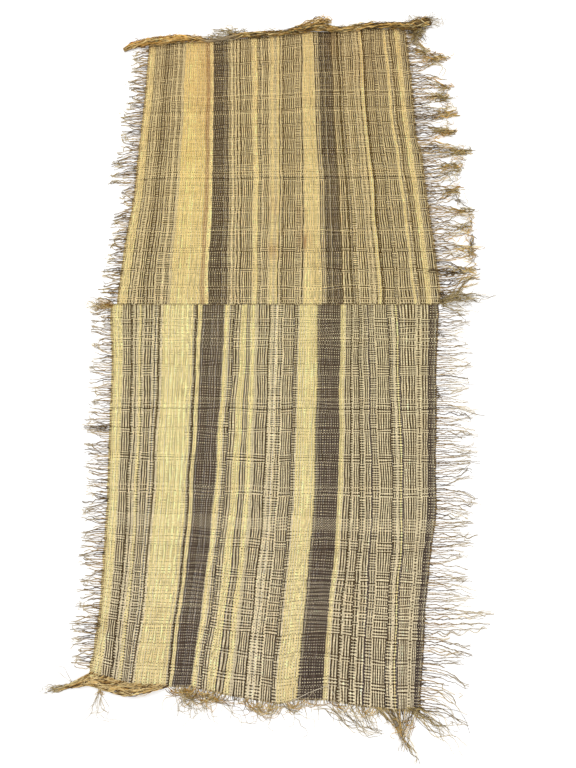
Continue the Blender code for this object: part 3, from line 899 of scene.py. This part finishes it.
def edge_tangles(piece, tangles):
    """Loops of warp ends that hang together below the near edge, with thin wisps under them."""
    rng = piece.rng
    for number, (centre_x, centre_y, width, depth, count) in enumerate(tangles):
        first = 200 + 60 * number
        for index in range(count):
            x = centre_x + rng.uniform(-1, 1) * width
            span = rng.choice([-1, 1]) * rng.uniform(10, 34)
            top = read_table(NEAR_EDGE, x) - rng.uniform(-2, depth * 0.7)
            drop = rng.uniform(0.4, 1.8) * depth
            knots = [
                (x - span * 0.5, top, 1.8), (x - span * 0.2, top - drop * 0.8, rng.uniform(0.6, 5)),
                (x + span * 0.25, top - drop, rng.uniform(0.6, 5)),
                (x + span * 0.6, top - drop * rng.uniform(0.2, 1.3), 0.8),
            ]
            thick = rng.uniform(0.8, 1.4)
            tones = GOLD_TONES if rng.random() < 0.5 else OLIVE_TONES
            sweep(piece, knots, thick, tones, first + index)
        for index in range(count // 3):
            x = centre_x + rng.uniform(-1, 1) * width
            below = (x + rng.normal(0, 34), centre_y - 30, 10, 12)
            bow = rng.choice([-1, 1]) * rng.uniform(0.1, 0.28)
            sweeps(piece, 1, (x, centre_y, 4, 3), below, bow, (0.9, 1.2), WISP_TONES, first + 40 + index)


near_fringe = loose_piece(
    "near_fringe", "fringe_bottom", fringe_finish, "fringe_raffia", 35,
    (edge_stubs, -166, 176),
    (edge_tangles, NEAR_TANGLES),
    (sweeps, 24, (112, -699, 42, 3), (174, -738, 14, 8), -0.08, (0.8, 1.2), OLIVE_TONES, 900),
    (sweeps, 9, (40, -700, 40, 3), (90, -722, 30, 10), 0.3, (1.0, 1.3), WISP_TONES, 930, 4.0, 0.2),
)
corner_fringe = loose_piece(
    "corner_fringe", "fringe_corner", fringe_finish, "fringe_raffia", 36,
    (edge_stubs, 202, 233),
    (sweeps, 26, (221, -702, 12, 4), (300, -750, 26, 20), 0.03, (0.8, 1.2), OLIVE_TONES, 40),
)


# Heading, gathered warp ends, seam and bunch

def width_at_panel(radius):
    """Half width of a roll where it meets the upper corner of the panel's edge."""
    rise = max(radius * ROLL_CENTRE_SHARE - 2.0, 0.0)
    return radius * math.sqrt(max(1 - (rise / (radius * ROLL_FLATNESS)) ** 2, 0.0))


def beside_edge(edge, radii, outward):
    """Route of a roll along the outside of an edge, a little over it: (x, y, radius)."""
    start, end = radii[0][0], radii[-1][0]
    route = []
    for x in np.linspace(start, end, round((end - start) / ROLL_STEP)):
        radius = read_table(radii, x)
        slope = (read_table(edge, x + 7) - read_table(edge, x - 7)) / 14
        y = read_table(edge, x) + outward * (width_at_panel(radius) * math.hypot(1, slope) - ROLL_OVERLAP)
        route.append((x, y, radius))
    return np.array(route)


def heading_tones(x, rng):
    """Golden at the left, dusky where the heading is frayed, olive brown to the right."""
    gold, olive = pick(GOLD_TONES, rng) * 1.26, pick(OLIVE_TONES, rng) * 1.26
    dark = pick(KNOT_TONES, rng) * 0.9
    mixed = (gold, olive, gold, dark)[int(rng.integers(4))]
    dusk = linear(DUSK_TONE) * rng.uniform(0.4, 1.9)
    frayed = (smooth((x + 172) / 30) * smooth((-75 - x) / 40))[:, None]
    left = smooth((-140 - x) / 60)[:, None]
    colours = mixed * (1 - left) + gold * left
    return colours * (1 - frayed) + dusk * frayed


def matted(piece, route, count):
    """Many fine strands laid along a roll, given as (x, y, radius) points, round a dark core of painted
    shade, and with painted shade on their undersides.
    """
    rng = piece.rng
    plan, radius = route[:, :2], route[:, 2]
    step = unit(np.gradient(plan, axis=0))
    across = np.column_stack([step[:, 1], -step[:, 0], np.zeros(len(step))])
    arc = length_along(plan)
    centre = radius * ROLL_CENTRE_SHARE
    # Painted shade: a dark core that darkens the gaps between the strands
    shade_core(piece, np.column_stack([plan, centre]), radius * 0.74)
    for index in range(count):
        far = rng.uniform(26, 90)
        start = rng.uniform(-far * 0.6, arc[-1] - far * 0.4)
        first, last = np.searchsorted(arc, [max(start, 0), min(start + far, arc[-1])])
        if last - first < 4:
            continue
        part = slice(first, last)
        along = arc[part] - arc[first]
        pitch = rng.choice([-1, 1]) * rng.uniform(160, 800)
        turn = rng.uniform(-0.35, math.pi + 0.35) + math.tau * along / pitch
        turn = turn + ripple(along, 0.25, (25, 70), rng)
        ends = np.minimum(along, along[-1] - along) / along[-1]
        fray = rng.uniform(0, 0.35) * (1 - smooth(ends / 0.2))
        away = 0.90 + rng.normal(0, LOOSENESS) + ripple(along, LOOSENESS * 0.6, (12, 32), rng) + fray
        away = radius[part] * away
        facing = across[part] * np.cos(turn)[:, None]
        facing[:, 2] = np.sin(turn)
        # Painted shade: each strand is darker where it turns to the underside of the roll
        shade = 0.62 + 0.38 * smooth(0.55 + 0.8 * np.sin(turn))
        colours = heading_tones(plan[part, 0], rng) * shade[:, None]
        widths = rng.uniform(1.2, 2.3) * (0.35 + 0.65 * smooth(ends / 0.15))
        tilt = 0.8 * np.sin(along / rng.uniform(3, 8) + rng.uniform(0, 6))
        line = np.column_stack([plan[part], centre[part]]) + facing * away[:, None] * (1, 1, ROLL_FLATNESS)
        strip(piece, line, widths, colours, index, tilt, facing)


def hairs(piece, line, radii, count, span, tones, strand_id):
    """Hairs along a roll that stand off it at small angles."""
    rng = piece.rng
    for index, x in enumerate(rng.uniform(*span, count)):
        y = read_table(line, x) + read_table(radii, x) * rng.uniform(0.3, 2.0)
        angle = math.radians(rng.choice([4, 176]) + rng.normal(0, 18))
        far = rng.uniform(12, 34)
        bend = rng.normal(0, 0.25) * far
        run, rise = far * math.cos(angle), far * math.sin(angle)
        middle = (x + 0.5 * run, y + 0.5 * rise + bend * 0.5, rng.uniform(4, 10))
        tip = (x + run, y + rise - bend * 0.4, rng.uniform(2, 9))
        sweep(piece, [(x, y, 6), middle, tip], rng.uniform(0.7, 1.1), tones, strand_id + index, 0.4)


def hem(piece, count):
    """The gathered warp ends: a dark core of painted shade under their left part, and strands that run down
    and to the left.
    """
    rng = piece.rng
    route = beside_edge(NEAR_LINE, NEAR_ROLL_RADII, DOWN)
    under = route[(route[:, 0] > -305) & (route[:, 0] < -206)]
    # Painted shade under the gathered strands
    shade_core(piece, np.column_stack([under[:, 0], under[:, 1] - 2, under[:, 2] * 0.5]), under[:, 2] * 0.45)
    for index in range(count):
        start = rng.uniform(-303, -172)
        far_left = rng.uniform(340, 374) if rng.random() < 0.05 else rng.uniform(306, 336)
        length = min(rng.uniform(36, 110), start + far_left)
        lane = rng.uniform(0, 1)
        knots = [(start, read_table(NEAR_LINE, start) + rng.uniform(-1.5, 3.5), 2.3)]
        for share in np.linspace(0.14, 1, 6):
            x = start - length * share
            across = np.clip(lane + rng.normal(0, 0.06), 0, 1) * min(1.35 * share, 1.0)
            crown = math.sqrt(max(1 - (2 * across - 1) ** 2, 0.03)) * rng.uniform(0.75, 1.05)
            height = 1.0 + read_table(NEAR_ROLL_RADII, x) * 1.5 * crown
            y = read_table(NEAR_LINE, x) - 2.0 * lane - read_table(HEM_DEPTHS, x) * across
            knots.append((x, y, height))
        sweep(piece, knots, rng.uniform(1.1, 2.1), HEM_TONES, 50 + index, 0.3, 4.5)


def stitches(piece):
    """A thin dark cord on the seam and the stitches across it."""
    rng = piece.rng
    cord_x = np.linspace(-313, 308, 156)
    cord = np.column_stack([cord_x, 0.3 * np.sin(cord_x / 3.1), 0.5 + 0 * cord_x])
    strip(piece, cord, SEAM_CORD_WIDTH, linear(SEAM_TONE), 600)
    for index, x in enumerate(np.arange(-312, 307, STITCH_SPACING)):
        x = x + rng.normal(0, 0.5)
        reach = rng.uniform(2.0, 3.2)
        knots = [(x - 0.8, -reach, 1.5), (x, 0, 2.1), (x + 1.0, reach, 1.5)]
        width = rng.uniform(0.8, 1.1)
        tones = OLIVE_TONES if rng.random() < 0.6 else KNOT_TONES
        sweep(piece, knots, width, tones, index, 0.0, 1.6, 0.2)


def bunch(piece, starts):
    """Warp ends from places along the near edge, most of them drawn to one neck and some on to a tip."""
    rng = piece.rng
    for index, start in enumerate(starts):
        edge_y = read_table(NEAR_EDGE, start)
        neck_x = 204 + (start - 200) * 0.08 + rng.normal(0, 3.5)
        neck = (neck_x, -742 + rng.normal(0, 6), rng.uniform(1, 7))
        shoulder = (start + (neck_x - start) * 0.45, edge_y - rng.uniform(10, 18), rng.uniform(1, 6))
        knots = [(start, edge_y + 3, 1.5), shoulder]
        if rng.random() < 0.7:
            knots.append(neck)
            if rng.random() < 0.35:
                knots.append((rng.normal(214, 6), rng.normal(-760, 6), rng.uniform(0.6, 3)))
        else:
            low_x, low_y = shoulder[0] + rng.normal(4, 5), shoulder[1] - rng.uniform(4, 12)
            knots.append((low_x, low_y, rng.uniform(0.6, 4)))
        tones = (OLIVE_TONES, GOLD_TONES, STRAW_TONES, KNOT_TONES)[int(rng.integers(4))]
        sweep(piece, knots, rng.uniform(0.8, 1.4), tones, index, 0.6)


heading = loose_piece(
    "heading_twist", "top_roll", twist_finish, "heading_raffia", 41,
    (matted, beside_edge(HEADING_LINE, HEADING_RADII, UP), 580),
    (hairs, HEADING_LINE, HEADING_RADII, 90, (-322, -150), GOLD_TONES, 700),
    (tangle, (-134, 618), (28, 8), 40, STRAW_TONES, 780, (0.8, 1.5), 8),
    (tangle, (-100, 630), (28, 9), 54, OLIVE_TONES, 830, (0.8, 1.6), 9),
    (hairs, HEADING_LINE, HEADING_RADII, 150, (-60, 322), OLIVE_TONES, 900),
    (sweeps, 70, (58, 645, 24, 5), (119, 664, 4, 4), 0.02, (1.3, 2.2), GOLD_TONES, 1060, 14),
    (sweeps, 16, (-318, 592, 8, 5), (-334, 584, 8, 8), 0.1, (0.8, 1.2), OLIVE_TONES, 1130, 8),
    (sweeps, 44, (284, 634, 10, 8), (318, 622, 14, 24), 0.12, (0.9, 1.4), KNOT_TONES, 1150, 7),
    (sweeps, 44, (284, 616, 6, 18), (320, 650, 12, 7), -0.12, (0.9, 1.4), OLIVE_TONES, 1200, 9),
    (sweeps, 32, (312, 656, 8, 6), (350, 666, 16, 26), 0.05, (0.7, 1.1), OLIVE_TONES, 1250, 12),
    (tangle, (308, 662), (20, 8), 30, OLIVE_TONES, 1290, (0.8, 1.4), 15),
    (sweeps, 7, (316, 656, 6, 8), (366, 676, 12, 16), -0.25, (0.9, 1.2), WISP_TONES, 1330, 4.0, 0.1),
)
near_end = loose_piece(
    "near_twist", "bottom_roll", twist_finish, "warp_end_raffia", 42,
    (hem, 300),
    (sweeps, 20, (-336, -668, 10, 2), (-378, -677, 6, 3), 0.0, (0.8, 1.3), OLIVE_TONES, 320, 3),
    (sweeps, 2, (-328, -664, 4, 2), (-372, -626, 3, 3), -0.14, (0.7, 0.9), WISP_TONES, 345, 4.0, 0.1),
    (sweeps, 6, (-322, -662, 8, 3), (-346, -666, 6, 6), 0.1, (0.8, 1.2), OLIVE_TONES, 350),
    (sweeps, 5, (-284, -674, 4, 2), (-312, -722, 14, 5), 0.12, (0.9, 1.2), WISP_TONES, 360, 4.0, 0.2),
    (sweeps, 5, (-282, -676, 4, 2), (-262, -724, 14, 5), -0.16, (0.9, 1.2), WISP_TONES, 370, 4.0, 0.2),
    (tangle, (-283, -676), (4, 5), 8, GOLD_TONES, 380, (1.0, 1.6), 7),
)
seam = loose_piece(
    "seam_stitching", "seam_cord", twist_finish, "seam_raffia", 43,
    (stitches,),
    (sweeps, 46, (-314, -2, 4, 6), (-352, -3, 8, 14), 0.0, (0.6, 1.1), GOLD_TONES, 200, 9),
    (tangle, (-334, -3), (18, 10), 26, OLIVE_TONES, 260, (0.8, 1.4), 11),
    (tangle, (-318, 0), (6, 7), 8, KNOT_TONES, 300),
    (sweeps, 40, (312, 4, 4, 5), (384, 18, 18, 14), 0.05, (0.6, 1.1), OLIVE_TONES, 320, 9),
    (sweeps, 14, (313, -2, 3, 4), (372, -14, 22, 14), 0.0, (0.6, 1.0), OLIVE_TONES, 370, 6),
    (tangle, (366, 13), (30, 10), 26, OLIVE_TONES, 400, (0.8, 1.4), 11),
    (tangle, (316, 4), (6, 8), 12, KNOT_TONES, 430),
)
end_bunch = loose_piece(
    "warp_end_bunch", "tassel", twist_finish, "warp_end_raffia", 44,
    (bunch, np.concatenate([np.linspace(158, 204, 46), np.linspace(205, 232, 14)])),
    (tangle, (202, -728), (13, 12), 16, GOLD_TONES, 100, (0.8, 1.4), 8),
    (sweeps, 6, (208, -750, 4, 4), (227, -784, 5, 4), 0.1, (0.8, 1.1), OLIVE_TONES, 140),
    (sweeps, 4, (204, -748, 4, 4), (192, -770, 5, 4), -0.1, (0.8, 1.1), WISP_TONES, 150),
)

upper_warps, upper_wefts = weave(
    "upper", UP, (UPPER_LEFT_EDGE, UPPER_RIGHT_EDGE, HEADING_EDGE), UPPER_STRIPES, UPPER_COUNTS,
    UPPER_WEFT_RUNS, 322,
)
lower_warps, lower_wefts = weave(
    "lower", DOWN, (LOWER_LEFT_EDGE, LOWER_RIGHT_EDGE, NEAR_EDGE), LOWER_STRIPES, LOWER_COUNTS,
    LOWER_WEFT_RUNS, 280,
)


# Floor, light and camera

def floor_finish():
    material, shader = new_material("pale_floor")
    place = add_node(material, "TexCoord", {}, "Object")
    grain = add_node(material, "TexNoise", {"Vector": place, "Scale": 3.0}, "Fac")
    feed(shader, {
        "Base Color": ranged(material, grain, 0.0, 1.0, 0.90, 0.93),
        "Roughness": 0.9, "Specular IOR Level": 0.1, "Emission Color": WHITE, "Emission Strength": 0.25,
    })
    return material


floor_mesh = bpy.data.meshes.new("floor")
corners = [(x * FLOOR_HALF, y * FLOOR_HALF, 0) for x, y in ((-1, -1), (1, -1), (1, 1), (-1, 1))]
floor_mesh.from_pydata(corners, [], [(0, 1, 2, 3)])
floor_mesh.materials.append(floor_finish())
floor = bpy.data.objects.new("floor", floor_mesh)
bpy.context.scene.collection.objects.link(floor)

world = bpy.data.worlds.new("studio")
bpy.context.scene.world = world
world.use_nodes = True
world.node_tree.nodes["Background"].inputs["Color"].default_value = WHITE
world.node_tree.nodes["Background"].inputs["Strength"].default_value = WORLD_STRENGTH

for name, place, size, power in LIGHTS:
    light = bpy.data.lights.new(name, "AREA")
    light.size = size
    light.energy = power
    lamp = bpy.data.objects.new(name, light)
    lamp.location = place
    lamp.rotation_euler = (-Vector(place)).to_track_quat("-Z", "Y").to_euler()
    bpy.context.scene.collection.objects.link(lamp)

bpy.context.scene.view_settings.view_transform = "Standard"

camera_data = bpy.data.cameras.new("camera")
camera_data.sensor_width = SENSOR
camera_data.lens = SENSOR / 2 / math.tan(math.radians(VIEW_ANGLE / 2))
camera = bpy.data.objects.new("camera", camera_data)
elevation = math.radians(CAMERA_ELEVATION)
camera.location = (
    LOOK_AT[0] * MM + SHIFT_X,
    LOOK_AT[1] * MM + SHIFT_Y - CAMERA_DISTANCE * math.cos(elevation),
    CAMERA_DISTANCE * math.sin(elevation),
)
camera.rotation_euler = (math.pi / 2 - elevation, 0.0, 0.0)
bpy.context.scene.collection.objects.link(camera)
bpy.context.scene.camera = camera
